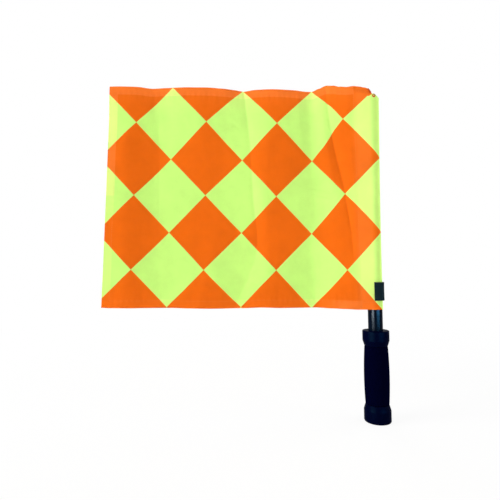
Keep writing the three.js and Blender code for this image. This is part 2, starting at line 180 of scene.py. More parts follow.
# How far the print has crept up at the hoist edge, at the same heights
HOIST_CREEP = (-1.35, 0.05, 0.9)
PRINT_STEP_LEAD = 4.0
PRINT_STEP_WIDTH = 20.0
PRINT_STEP_FROM = 350.0
PRINT_STEP_FADE = 30.0
PRINT_WOBBLE = 0.012
PRINT_EDGE = 0.0005
FIRST_CROSSING = -8
CHECK_HALF = 50.0
FIRST_ROW_HEIGHT = 150.2
# A column of crossings lies where the sleeve turns away, this far round from its hoist edge
EDGE_TURN = math.radians(19.7)
# How far the cloth on the sleeve's front is drawn out towards that edge, and how much that bows
FRONT_STRETCH = 0.75
FRONT_BEND = 0.1

# Fold lines from the seam to the fly: x and y at five even heights from the cloth's bottom to its
# top, and how sharp each is, from 0, a round crest, to 1, a crease
FOLD_LINES = [
    ((-25.4, -25.6, -26.0, -30.3, -31.0), (-5.8, -5.8, -5.6, -5.5, -5.4), 1.0),
    ((-33.0, -33.0, -37.0, -48.0, -47.0), (-4.8, -4.4, -2.6, -1.8, -1.8), 1.0),
    ((-55.0, -48.0, -48.7, -62.7, -66.0), (-0.6, -1.4, -0.6, -0.6, 4.2), 1.0),
    ((-81.4, -85.4, -78.4, -83.6, -82.5), (5.8, 6.2, 5.2, 4.5, 8.6), 0.1),
    ((-101.2, -102.5, -106.5, -97.0, -100.6), (5.6, 5.6, 4.2, 2.8, 6.0), 1.2),
    ((-153.3, -139.1, -143.3, -141.4, -132.0), (2.0, 4.4, 2.0, -0.6, 4.6), 0.23),
    ((-187.9, -158.5, -162.7, -166.8, -174.5), (5.6, 7.4, 5.4, 3.0, 9.0), 1.0),
    ((-212.3, -191.8, -200.5, -200.1, -206.7), (3.6, 7.6, 7.4, 4.4, 4.6), 0.15),
    ((-238.1, -221.5, -245.6, -236.5, -250.0), (0.8, 5.6, 5.6, 2.4, 4.0), 0.3),
    ((-283.3, -288.6, -295.7, -290.7, -298.5), (3.4, 5.8, 6.7, 5.4, 5.0), 0.0),
    ((-309.3, -312.8, -308.5, -304.4, -304.2), (2.0, 3.4, 4.8, 3.9, 4.2), 1.2),
    ((-334.7, -337.8, -339.4, -335.0, -328.1), (-0.2, -0.3, 0.2, 0.2, 1.8), 0.0),
    ((-362.6, -361.0, -359.4, -357.9, -356.3), (0.0, 0.3, 0.5, 0.8, 1.2), 0.0),
]

# Creases pressed into the cloth: the line's x at five heights, the shares of the height between
# which it runs, how deep it is and how far it reaches to the left and to the right
SLEEVE_CREASE_X = (-29.0, -29.0, -37.0, -52.5, -62.0)
CREASES = [
    ((-187.9, -158.5, -162.7, -166.8, -174.5), 0.28, 1.0, 1.2, 14.0, 5.0),
    (SLEEVE_CREASE_X, 0.26, 1.0, 1.7, 5.0, 4.0),
    ((-290.0, -290.0, -290.5, -291.0, -291.0), 0.36, 0.84, 0.45, 2.6, 7.0),
    ((-216.0, -214.0, -212.0, -214.0, -214.0), 0.0, 0.8, -0.35, 6.0, 9.0),
]

CREASE_FADE = 0.06
PUCKER_DEPTH = 0.16
PUCKER_REACH = 5.0
CALM_REACH = 30.0

# Broad slack: how fast it varies across and up the cloth, its layer of noise and its depth
SLACK = [(0.021, 0.008, 3.1, 0.9), (0.075, 0.03, 9.7, 0.28)]

# How far the bottom and the top edge stray up or down, from the fly to the hoist, and how far
# into the cloth that reaches
BOTTOM_EDGE = {
    "x": (-362.0, -352.0, -320.0, -272.0, -249.0, -217.0, -177.0, -153.0, -125.0, -100.0, -80.0, -58.0,
          -40.0, -24.0, 12.0),
    "up": (1.3, 0.8, 0.4, 0.2, -0.5, -1.3, -1.0, -0.2, -1.1, -1.1, -0.9, -1.9, -2.6, -3.3, -3.3),
}
TOP_EDGE = {
    "x": (-357.0, -345.0, -318.0, -304.0, -281.0, -250.0, -222.0, -204.0, -190.0, -174.0, -157.0, -135.0,
          -109.0, -90.0, -79.0, -70.0, -61.0, -52.0, -43.0, -33.0, -25.0, -17.0, -9.0, -4.0, -1.0, 12.0),
    "up": (0.0, 0.5, 0.6, -0.4, 0.7, 1.5, 1.95, 1.1, 0.3, -0.7, 0.7, 1.0, 0.4, -0.6, -0.6, 2.6, 6.0, 4.5,
           1.8, 0.6, 1.3, 0.6, -0.7, -2.0, 0.3, 0.8),
}
BOTTOM_REACH = 70.0
TOP_REACH = 40.0

# Small crumples: middle x and height, half length, slope, width and depth
CRUMPLES = [
    (-74.0, 306.0, 11.0, -0.25, 1.7, -0.75),
    (-70.0, 301.0, 10.0, -0.30, 1.7, 0.6),
    (-64.0, 296.5, 9.0, -0.30, 1.6, -0.5),
    (-84.0, 312.0, 10.0, -0.15, 2.2, 0.5),
    (-90.0, 262.0, 12.0, 0.45, 2.4, -0.4),
    (-196.0, 392.0, 10.0, 0.5, 2.6, -0.45),
    (-186.0, 398.0, 9.0, -0.6, 2.6, 0.45),
    (-258.0, 273.0, 17.0, 0.12, 2.6, 0.5),
    (-262.0, 268.0, 17.0, 0.12, 2.4, -0.4),
    (-172.0, 216.0, 14.0, 0.15, 2.4, 0.55),
    (-164.0, 196.0, 12.0, 0.85, 3.0, -0.5),
    (-300.0, 357.0, 6.0, 0.1, 2.2, 0.45),
    (-120.0, 180.0, 12.0, 0.3, 3.0, 0.4),
    (-20.0, 404.0, 11.0, 0.55, 1.6, -0.4),
    (-14.0, 398.0, 10.0, 0.55, 1.6, 0.35),
    (-240.0, 190.0, 14.0, -0.4, 3.0, -0.35),
]

# Keeper tab
TAPE_THICKNESS = 0.75
TAPE_BOTTOM = 158.3
TAPE_TOP = 182.7
TAPE_SEAT = 10.62
FLAP_SEAT = 11.75
TAPE_FRONT_ANGLE = -20.5
PATCH_END_ANGLE = 58.0
TAPE_STEP_ANGLE = 74.0
TAPE_BACK_ANGLE = 196.0
PATCH_THICKNESS = 0.55
PATCH_MARGIN = 1.2
PATCH_END_CLEARANCE = 2.0
TAB_STITCH_INSET = 2.4
TAB_STITCH_LIFT = 0.12
TAB_STITCH_PLACES = 21
TAPE_GRID = (110, 40)
PATCH_GRID = (40, 30)
SELVEDGE_RISE = 0.12
SELVEDGE_PLACE = 0.9
SELVEDGE_WIDTH = 0.5
TAPE_EDGE_DROP = 0.22
TAPE_EDGE_WIDTH = 0.35

# Sewing, with a stitch's rings as shares of its length and of the thread's radius
STITCH_PITCH = 2.9
STITCH_LENGTH = 2.35
STITCH_LEAD = 0.3
STITCH_RINGS = ((-0.5, 0.35), (-0.34, 0.9), (0.0, 1.0), (0.34, 0.9), (0.5, 0.35))
STITCH_LIFT = 0.04
STITCH_OVERRUN = 1.02
STITCH_SKEW = 0.06
THREAD_RADIUS = 0.14
THREAD_SIDES = 6
THREAD_UNEVEN = (0.92, 1.1)
THREAD_FLATTENED = 1.15
THREAD_END_SHARE = 0.55

# Where lines of stitches begin and end, in columns and rows of the cloth's grid
SEAM_CLEAR_COLUMNS = 5
MOUTH_FRONT_END = 20
MOUTH_BACK_START = 44
CROWN_STITCH_ROW = 5

# Tack over the hoist corner; its tail hangs in front of the rim: radius, and places from the
# corner's low end
TACK_LOOPS = 11
TACK_FROM_SHARE = 0.42
TACK_STEP_SHARE = 0.054
TACK_OUTWARD = (0.72, 0.0, 0.69)
TACK_THREAD_RADIUS = 0.34
TACK_TUBE_STEPS = 6
TACK_TUBE_SIDES = 7
FOLD_ROUND = 0.8
TACK_TAIL = [
    (0.75, [(-12.1, -8.0, 5.0), (-10.6, -10.0, 2.4), (-9.2, -10.7, 0.2), (-7.9, -10.6, 0.2),
            (-6.8, -10.1, 2.4)]),
    (0.22, [(-7.0, -10.2, 2.0), (-7.05, -10.0, 3.2), (-7.6, -9.8, 4.2)]),
    (0.22, [(-7.0, -10.2, 2.0), (-6.4, -10.0, 3.2), (-6.3, -9.8, 4.2)]),
]

# Colours, linear
PRINT_ORANGE = (0.87, 0.150, 0.008, 1.0)
PRINT_YELLOW = (0.60, 0.96, 0.215, 1.0)
# Paler colours of cloth that lies double; they also serve as painted light on the sleeve's front and below
# the top hem
HEM_AND_PAINTED_LIGHT_ORANGE = (0.95, 0.20, 0.028, 1.0)
HEM_AND_PAINTED_LIGHT_YELLOW = (0.79, 0.98, 0.26, 1.0)
THREAD_ON_ORANGE = (0.88, 0.20, 0.03, 1.0)
THREAD_ON_YELLOW = (0.72, 0.90, 0.22, 1.0)
THREAD_RED = (0.5, 0.06, 0.01, 1.0)
POLE_BLACK = (0.0005, 0.0030, 0.0090, 1.0)
CAP_BLACK = (0.0004, 0.0010, 0.0100, 1.0)
FOAM_BLACK = (0.0003, 0.0005, 0.0075, 1.0)
TAPE_BLACK = (0.0075, 0.018, 0.024, 1.0)
PATCH_BLACK = (0.008, 0.016, 0.021, 1.0)
POLE_DUST = (0.012, 0.014, 0.018, 1.0)
CAP_WORN = (0.003, 0.006, 0.014, 1.0)
CAP_SHEEN = (0.2, 0.7, 1.0, 1.0)
FOAM_PORES = (0.0006, 0.0009, 0.0095, 1.0)
FLOOR_GREY = (0.82, 0.82, 0.82, 1.0)
WHITE = (1.0, 1.0, 1.0, 1.0)

# Share of light that passes through the cloth, and the pitch of its weave
THROUGH_SHARE = 0.1
WEAVE_PITCH = 0.5

# Room and light
FLOOR_REACH = 6000.0
AMBIENT = 0.5
LAMP_TARGET = (-0.17, 0.0, 0.3)
LAMP_ELEVATION = 15.0
LAMP_DISTANCE = 4.5
LAMP_SIZE = (2.4, 2.4)
# Soft lamps: name, azimuth from the front towards the fly, power and colour
LAMPS = [
    ("key", 75.0, 262.0, (1.0, 0.99, 0.97)),
    ("fill", -70.0, 75.0, (1.0, 1.0, 1.0)),
    ("rear", 175.0, 70.0, (1.0, 1.0, 1.0)),
    ("side", -108.0, 75.0, (1.0, 1.0, 1.0)),
]
# Low lamps that only show as highlights on the pole, each with its width as well
GLOSS_TARGET = (0.0, 0.0, 0.085)
GLOSS_DISTANCE = 0.95
GLOSS_HEIGHT = 0.17
GLOSS_LAMPS = [
    ("gloss_left", 54.7, 75.0, (0.76, 0.9, 1.0), 0.62),
    ("gloss_right", -27.5, 63.0, (0.1, 0.5, 1.0), 0.75),
]


# General helpers

def mix(a, b, t):
    return a + (b - a) * t


def smoothstep(t):
    t = np.clip(t, 0.0, 1.0)
    return t * t * (3.0 - 2.0 * t)


def hermite(t, start_slope, end_slope):
    """A rise from 0 to 1 with the given slopes at its ends."""
    square, cube = t * t, t * t * t
    return (3 * square - 2 * cube) + (cube - 2 * square + t) * start_slope + (cube - square) * end_slope


def along_height(values, share):
    """A smooth curve through values given at even steps of the cloth's height."""
    values = np.asarray(values, float)
    at = np.clip(np.asarray(share, float), 0.0, 1.0) * (len(values) - 1)
    low = np.minimum(at.astype(int), len(values) - 2)
    t = at - low
    slopes = np.gradient(values)
    square, cube = t * t, t * t * t
    return (
        values[low] * (2 * cube - 3 * square + 1)
        + values[low + 1] * (3 * square - 2 * cube)
        + slopes[low] * (cube - 2 * square + t)
        + slopes[low + 1] * (cube - square)
    )


def mesh_object(name, places, faces, smooth=True, sharp_angle=None):
    """A mesh from places in millimetres."""
    mesh = bpy.data.meshes.new(name)
    mesh.from_pydata((np.asarray(places, float) * MM).tolist(), [], faces)
    mesh.validate()
    mesh.update()
    made = bpy.data.objects.new(name, mesh)
    bpy.context.scene.collection.objects.link(made)
    if smooth:
        mesh.shade_smooth()
    if sharp_angle is not None:
        mesh.set_sharp_from_angle(angle=math.radians(sharp_angle))
    return made


def finished(piece, body, slot, *nodes, look=None):
    """Gives a piece the material of its slot or look, puts it under its body and hides the nodes that it
    stands for.
    """
    piece.data.materials.append(MATERIALS[look or slot])
    if body is not None:
        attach(piece, body)
    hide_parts(*nodes)
    return piece


# Materials

class Nodes:
    """Short calls for the node tree of a material or of the world."""

    def __init__(self, owner):
        owner.use_nodes = True
        self.owner = owner
        self.tree = owner.node_tree
        self.tree.nodes.clear()

    def add(self, kind, inputs=None, **settings):
        """A node, with each input linked to another node or set to a value."""
        node = self.tree.nodes.new(kind)
        for key, value in settings.items():
            setattr(node, key, value)
        for key, value in (inputs or {}).items():
            if isinstance(value, bpy.types.NodeSocket):
                self.tree.links.new(value, node.inputs[key])
            else:
                node.inputs[key].default_value = value
        return node

    def math(self, operation, *values):
        return self.add("ShaderNodeMath", dict(enumerate(values)), operation=operation).outputs[0]

    def wave(self, value, rate):
        return self.math("SINE", self.math("MULTIPLY", value, rate))

    def noise(self, place, scale, detail=2.0, roughness=0.5):
        inputs = {"Vector": place, "Scale": scale, "Detail": detail, "Roughness": roughness}
        return self.add("ShaderNodeTexNoise", inputs).outputs["Fac"]

    def remap(self, value, low, high, to_low=0.0, to_high=1.0):
        inputs = {"Value": value, "From Min": low, "From Max": high, "To Min": to_low, "To Max": to_high}
        return self.add("ShaderNodeMapRange", inputs).outputs["Result"]

    def mix_colour(self, share, a, b, blend="MIX"):
        inputs = {0: share, 6: a, 7: b}
        return self.add("ShaderNodeMix", inputs, data_type="RGBA", blend_type=blend).outputs[2]

    def shaded(self, colour, shade):
        """A colour made darker or lighter by a grey shade."""
        grey = self.add("ShaderNodeCombineColor", {0: shade, 1: shade, 2: shade}).outputs[0]
        return self.mix_colour(1.0, colour, grey, blend="MULTIPLY")

    def bump(self, height, strength, distance, normal=None):
        inputs = {"Height": height, "Strength": strength, "Distance": distance}
        if normal is not None:
            inputs["Normal"] = normal
        return self.add("ShaderNodeBump", inputs).outputs["Normal"]

    def place(self):
        return self.add("ShaderNodeTexCoord").outputs["Object"]

    def sheet_map(self, name):
        """A sheet's own coordinates, together and one by one."""
        both = self.add("ShaderNodeUVMap", uv_map=name).outputs["UV"]
        parts = self.add("ShaderNodeSeparateXYZ", {0: both}).outputs
        return both, parts[0], parts[1]

    def mix_shader(self, share, a, b):
        return self.add("ShaderNodeMixShader", {0: share, 1: a, 2: b}).outputs[0]

    def principled(self, inputs):
        return self.add("ShaderNodeBsdfPrincipled", inputs).outputs[0]

    def surface(self, shader):
        self.add("ShaderNodeOutputMaterial", {"Surface": shader})
        return self.owner


def material_nodes(name):
    return Nodes(bpy.data.materials.new(name))


def check_mask(n, print_map, across, up):
    """1 on the orange checks, with the print's slightly uneven edge."""
    wobble = n.math("MULTIPLY_ADD", n.noise(print_map, 3.0, 3.0), PRINT_WOBBLE, -PRINT_WOBBLE / 2)
    rising = n.math("ADD", n.math("ADD", across, up), wobble)
    falling = n.math("ADD", n.math("SUBTRACT", across, up), wobble)
    checks = n.math("MULTIPLY", n.wave(rising, math.pi / 2), n.wave(falling, math.pi / 2))
    return n.remap(checks, -PRINT_EDGE, PRINT_EDGE)


def cloth_material():
    """Printed polyester: the checks lie in the cloth's own coordinates, one unit to half a check."""
    n = material_nodes("flag_cloth")
    print_map, across, up = n.sheet_map("print")
    # The hem share pales the print on turned hems and doubled cloth, and also carries painted light on the
    # sleeve's front and below the top hem, with painted shade where it drops over the pole
    hem = n.add("ShaderNodeAttribute", attribute_name="hem").outputs["Fac"]
    orange = n.mix_colour(n.math("MULTIPLY", hem, hem), PRINT_ORANGE, HEM_AND_PAINTED_LIGHT_ORANGE)
    yellow = n.mix_colour(hem, PRINT_YELLOW, HEM_AND_PAINTED_LIGHT_YELLOW)
    printed = n.mix_colour(check_mask(n, print_map, across, up), yellow, orange)

    # Uneven dye and slight soiling
    patchy = n.remap(n.noise(print_map, 2.2, 4.0, 0.6), 0.3, 0.7, 0.955, 1.02)
    threads = n.remap(n.noise(print_map, 60.0, 2.0, 0.7), 0.2, 0.8, 0.975, 1.02)
    colour = n.shaded(printed, n.math("MULTIPLY", patchy, threads))

    # Plain weave, with fine creases
    rate = 2 * math.pi * CHECK_HALF / WEAVE_PITCH
    weave = n.math("MULTIPLY", n.wave(across, rate), n.wave(up, rate))
    normal = n.bump(weave, 0.22, 0.00012)
    normal = n.bump(n.noise(print_map, 9.0, 5.0, 0.62), 0.16, 0.0016, normal)

    shader = n.principled({
        "Base Color": colour,
        "Roughness": n.remap(n.noise(print_map, 30.0), 0.2, 0.8, 0.72, 0.86),
        "Specular IOR Level": 0.0,
        "Normal": normal,
    })
    through = n.add("ShaderNodeBsdfTranslucent", {"Color": colour, "Normal": normal}).outputs[0]
    return n.surface(n.mix_shader(THROUGH_SHARE, shader, through))


def clear_thread_material():
    """Clear nylon thread, through which the print below it shows."""
    n = material_nodes("sewing_thread")
    is_orange = check_mask(n, *n.sheet_map("print"))
    return n.surface(n.principled({
        "Base Color": n.mix_colour(is_orange, THREAD_ON_YELLOW, THREAD_ON_ORANGE),
        "Roughness": 0.45,
        "Specular IOR Level": 0.05,
    }))


def thread_material(name, colour):
    """Twisted sewing thread."""
    n = material_nodes(name)
    fibres = n.noise(n.place(), 2600.0, 3.0, 0.6)
    return n.surface(n.principled({
        "Base Color": n.shaded(colour, n.remap(fibres, 0.25, 0.75, 0.78, 1.08)),
        "Roughness": 0.6,
        "Specular IOR Level": 0.02,
        "Normal": n.bump(fibres, 0.5, 0.00012),
    }))


def pole_material():
    """Glossy extruded plastic with faint drawing lines and rubbed streaks."""
    n = material_nodes("pole_plastic")
    place = n.place()
    stretched = n.add("ShaderNodeMapping", {0: place, 3: (1.0, 1.0, 0.02)}).outputs[0]
    dust = n.remap(n.noise(place, 700.0, 4.0, 0.7), 0.62, 0.8, 0.0, 0.15)
    return n.surface(n.principled({
        "Base Color": n.mix_colour(dust, POLE_BLACK, POLE_DUST),
        "Roughness": n.remap(n.noise(place, 190.0, 6.0, 0.7), 0.35, 0.75, 0.12, 0.24),
        "Specular IOR Level": 0.02,
        "Normal": n.bump(n.noise(stretched, 1400.0, 3.0, 0.6), 0.12, 0.00012),
    }))


def cap_material():
    """Moulded satin plastic with a fine spark texture."""
    n = material_nodes("cap_plastic")
    place = n.place()
    wear = n.remap(n.noise(place, 420.0, 5.0, 0.75), 0.6, 0.78, 0.0, 0.3)
    return n.surface(n.principled({
        "Base Color": n.mix_colour(wear, CAP_BLACK, CAP_WORN),
        "Roughness": n.remap(n.noise(place, 60.0, 4.0, 0.6), 0.3, 0.7, 0.3, 0.42),
        "Specular IOR Level": 0.003,
        "Specular Tint": CAP_SHEEN,
        "Normal": n.bump(n.noise(place, 2400.0, 3.0, 0.6), 0.22, 0.00015),
    }))


def foam_material():
    """Closed-cell foam rubber: fine pores under a skin that hands have rubbed."""
    n = material_nodes("grip_foam")
    place = n.place()
    cells = n.add("ShaderNodeTexVoronoi", {"Vector": place, "Scale": 1500.0}).outputs["Distance"]
    pits = n.noise(place, 900.0, 4.0, 0.65)
    height = n.math("ADD", cells, n.math("MULTIPLY", pits, 0.8))
    return n.surface(n.principled({
        "Base Color": n.mix_colour(n.remap(pits, 0.35, 0.7, 0.0, 0.6), FOAM_BLACK, FOAM_PORES),
        "Roughness": n.remap(n.noise(place, 75.0, 3.0, 0.55), 0.3, 0.7, 0.62, 0.85),
        "Specular IOR Level": 0.0,
        "Normal": n.bump(height, 0.5, 0.00025),
    }))


def tape_material(name, colour, pitch, depth):
    """Woven tape with rows of small hooks or loops."""
    n = material_nodes(name)
    weave_map, across, up = n.sheet_map("weave")
    rate = 2 * math.pi / pitch
    hooks = n.math("MULTIPLY", n.wave(across, rate), n.wave(up, rate / 0.8))
    height = n.math("MULTIPLY_ADD", n.noise(weave_map, 1.6, 5.0, 0.75), 0.9, hooks)
    return n.surface(n.principled({
        # The colour follows the height: painted shade where the weave lies low and painted light where the
        # hooks stand up, on top of the noise's random tone
        "Base Color": n.shaded(colour, n.remap(height, -0.6, 1.6, 0.55, 1.45)),
        "Roughness": 0.8,
        "Specular IOR Level": 0.01,
        "Normal": n.bump(height, 0.8, depth),
    }))


MATERIALS = {
    "pole_plastic": pole_material(),
    "cap_plastic": cap_material(),
    "grip_foam": foam_material(),
    "flag_cloth": cloth_material(),
    "sewing_thread": clear_thread_material(),
    "corner_thread": thread_material("corner_thread", THREAD_RED),
    "keeper_thread": thread_material("keeper_thread", TAPE_BLACK),
    "keeper_tape": tape_material("keeper_tape", TAPE_BLACK, 1.05, 0.0003),
    "keeper_loops": tape_material("keeper_loops", PATCH_BLACK, 0.7, 0.0004),
}


# Turned pieces

def rounded(corners, steps=6):
    """A profile from its corners, each given as radius, height and how far it is rounded."""
    points = [Vector(corner[:2]) for corner in corners]
    out = []
    for index, (point, corner) in enumerate(zip(points, corners)):
        rounding = corner[2]
        if rounding == 0:
            out.append(point)
            continue
        before = (points[index - 1] - point).normalized()
        after = (points[index + 1] - point).normalized()
        half = before.angle(after) / 2
        centre = point + (before + after).normalized() * (rounding / math.sin(half))
        back = rounding / math.tan(half)
        first = point + before * back - centre
        last = point + after * back - centre
        turn = first.angle_signed(last)
        for step in range(steps + 1):
            out.append(centre + Matrix.Rotation(-turn * step / steps, 2) @ first)
    return out


def turned(name, profile, segments):
    """A turned piece from its half section, listed bottom to top on the outside."""
    places, faces, rings = [], [], []
    for radius, height in profile:
        steps = segments if radius > 0 else 1
        rings.append(range(len(places), len(places) + steps))
        for step in range(steps):
            angle = 2 * math.pi * step / segments
            places.append((radius * math.cos(angle), radius * math.sin(angle), height))
    for low, high in zip(rings, rings[1:]):
        for step in range(segments):
            after = (step + 1) % segments
            if len(low) == 1:
                faces.append((low[0], high[after], high[step]))
            elif len(high) == 1:
                faces.append((low[step], low[after], high[0]))
            else:
                faces.append((low[step], low[after], high[after], high[step]))
    return mesh_object(name, places, faces, sharp_angle=SHARP_ANGLE)


def make_handle():
    bore = POLE_RADIUS - POLE_WALL
    plug = bore - PRESS_GAP
    socket = POLE_RADIUS + PRESS_GAP

    def add(name, slot, node, profile, segments=RING_STEPS):
        finished(turned(name, profile, segments), "handle", slot, node)

    add("pole", "pole_plastic", "pole_tube", rounded([
        (bore, POLE_FOOT, 0), (POLE_RADIUS, POLE_FOOT, POLE_EDGE), (POLE_RADIUS, POLE_TOP, POLE_EDGE),
        (bore, POLE_TOP, POLE_EDGE), (bore, POLE_FOOT, 0),
    ]))
    add("pole_plug", "cap_plastic", "pole_top_cap", rounded([
        (0, CAP_PLUG_BOTTOM, 0), (plug - PLUG_CHAMFER, CAP_PLUG_BOTTOM, 0.3),
        (plug, CAP_PLUG_BOTTOM + PLUG_CHAMFER, 0.3), (plug, CAP_HEAD_BOTTOM, 0),
        (POLE_RADIUS, CAP_HEAD_BOTTOM, 0.2), (POLE_RADIUS, CAP_TOP, 0.95), (0, CAP_TOP, 0),
    ]))
    add("butt", "cap_plastic", "butt_cap", rounded([
        (0, 0, 0), (BUTT_RADIUS, 0, 2.2), (BUTT_RADIUS, BUTT_BAND_TOP, 0.9),
        (BUTT_NECK_RADIUS, BUTT_TOP, 0.5), (socket, BUTT_TOP, 0.3), (socket, BUTT_SOCKET_BOTTOM, 0),
        (plug, BUTT_SOCKET_BOTTOM, 0), (plug, BUTT_SPIGOT_TOP, 0.8), (0, BUTT_SPIGOT_TOP, 0),
    ]))
    add("collar", "cap_plastic", "grip_top_collar", rounded([
        (socket, COLLAR_BOTTOM, 0), (COLLAR_NECK_RADIUS, COLLAR_BOTTOM, 0.5),
        (COLLAR_RADIUS, COLLAR_BAND_BOTTOM, 0.9), (COLLAR_RADIUS, COLLAR_TOP, 1.1),
        (socket, COLLAR_TOP, 0.35), (socket, COLLAR_BOTTOM, 0),
    ]))
    add("grip", "grip_foam", "grip_barrel", grip_profile(socket), segments=GRIP_RING_STEPS)


def grip_profile(bore):
    """The barrel's outline: full at the belly, drawn in towards both ends, with soft rims."""
    wall = []
    for step in range(GRIP_WALL_STEPS + 1):
        height = mix(GRIP_BOTTOM + GRIP_RIM, GRIP_TOP - GRIP_RIM, step / GRIP_WALL_STEPS)
        end, reach = BUTT_NECK_RADIUS, GRIP_BELLY_HEIGHT - GRIP_BOTTOM
        if height >= GRIP_BELLY_HEIGHT:
            end, reach = COLLAR_NECK_RADIUS, GRIP_TOP - GRIP_BELLY_HEIGHT
        share = (height - GRIP_BELLY_HEIGHT) / reach
        wall.append((mix(GRIP_BELLY_RADIUS, end, share * share), height))
    low, high = [], []
    for step in range(GRIP_RIM_STEPS):
        angle = math.radians(90 * step / GRIP_RIM_STEPS)
        inward, outward = GRIP_RIM * (1 - math.sin(angle)), GRIP_RIM * (1 - math.cos(angle))
        low.append((wall[0][0] - inward, GRIP_BOTTOM + outward))
        high.append((wall[-1][0] - inward, GRIP_TOP - outward))
    return [(bore, GRIP_BOTTOM), *low, *wall, *reversed(high), (bore, GRIP_TOP), (bore, GRIP_BOTTOM)]


# Cloth

def fly_x(share):
    """The fly edge, with its two corners drawn out a little."""
    low = FLY_FLARE_BOTTOM * smoothstep(1.0 - share * FLAG_HEIGHT / FLARE_REACH)
    high = FLY_FLARE_TOP * smoothstep(1.0 - (1.0 - share) * FLAG_HEIGHT / FLARE_REACH)
    return mix(FLY_BOTTOM_X, FLY_TOP_X, share) - low - high


def seam_x(share):
    return mix(SEAM_BOTTOM_X, SEAM_TOP_X, share)


def fold_depth(x, share):
    """How far the panel stands back at x, at one share of its height."""
    lines = [(seam_x(share), SEAM_Y, 1.0)]
    lines += [(along_height(xs, share), along_height(ys, share), sharp) for xs, ys, sharp in FOLD_LINES]
    stops_x, stops_y, sharp = np.array(lines, float).T
    low = np.clip(np.searchsorted(-stops_x, -x, side="left") - 1, 0, len(lines) - 2)
    t = np.clip((x - stops_x[low]) / (stops_x[low + 1] - stops_x[low]), 0.0, 1.0)
    return mix(stops_y[low], stops_y[low + 1], hermite(t, sharp[low], sharp[low + 1]))


def crease_depth(x, share):
    depth = np.zeros_like(x)
    for line, start, end, deep, left, right in CREASES:
        shown = smoothstep((share - start) / CREASE_FADE + 1.0)
        shown = shown * smoothstep((end - share) / CREASE_FADE + 1.0)
        away = x - along_height(line, share)
        depth += deep * shown * np.exp(-np.abs(away) / np.where(away < 0, left, right))
    return depth


def crumple_depth(x, height):
    depth = np.zeros_like(x)
    for middle_x, middle_z, half, slope, width, deep in CRUMPLES:
        length = math.hypot(1.0, slope)
        along = ((x - middle_x) + (height - middle_z) * slope) / length
        aside = ((height - middle_z) - (x - middle_x) * slope) / length
        depth += deep * np.exp(-(along / half) ** 2 - (aside / width) ** 2)
    return depth


def pucker(run, edge_distance, phase):
    """Small waves square to a line of stitches, strongest on it."""
    waves = np.sin(run / 1.15 + phase)
    waves = waves + 0.6 * np.sin(run / 2.3 + 1.7 * phase) + 0.5 * np.sin(run / 4.1 + phase)
    return waves * np.exp(-np.abs(edge_distance) / PUCKER_REACH)


def limpness(x, height):
    """Broad slack in the cloth between its folds."""
    def slack(value):
        return sum(deep * noise.noise(Vector((value * across, height * up, layer)))
                   for across, up, layer, deep in SLACK)
    return np.array([slack(value) for value in x])


def panel_depth(x, height):
    """How far the panel stands back along one row, with its folds, crumples and slack."""
    share = height / FLAG_HEIGHT
    z = FLAG_BOTTOM + height
    calm = smoothstep((seam_x(share) - x) / CALM_REACH)
    y = fold_depth(x, share) + crease_depth(x, share) + crumple_depth(x, z)
    y = y + limpness(x, z) * calm
    stitched = ((z, x - fly_x(share), 0.3), (x, height, 1.1), (x, FLAG_HEIGHT - height, 2.2))
    for run, from_edge, phase in stitched:
        y = y + PUCKER_DEPTH * pucker(run, from_edge - STITCH_FROM_EDGE, phase) * calm
    return y


def panel_columns():
    """Shares of the width from the fly to the seam, fine at the hem and at the hinge."""
    width = SEAM_TOP_X - FLY_TOP_X
    fine_from = width - FINE_WIDTH
    steps = int((fine_from - HEM_STOPS[-1]) / COLUMN_STEP)
    coarse = np.linspace(HEM_STOPS[-1], fine_from, steps + 1)[1:]
    fine = np.linspace(fine_from, width, FINE_COLUMNS + 1)[1:]
    return np.concatenate([HEM_STOPS, coarse, fine]) / width


def row_heights():
    """Heights of the rows above the cloth's bottom edge, fine at the hems and where the crown begins."""
    steps = int((FLAG_HEIGHT - 2 * HEM_STOPS[-1]) / ROW_STEP)
    middle = np.linspace(HEM_STOPS[-1], FLAG_HEIGHT - HEM_STOPS[-1], steps + 1)[1:-1]
    shoulder = CROWN_START - FLAG_BOTTOM
    roof = [shoulder + share * CROWN_SHOULDER_RISE * CROWN_HEIGHT for share in ROOF_SHARES]
    top = [FLAG_HEIGHT - stop for stop in reversed(HEM_STOPS)]
    return np.array([*HEM_STOPS, *middle, shoulder - ROOF_LEAD, *roof, *top])


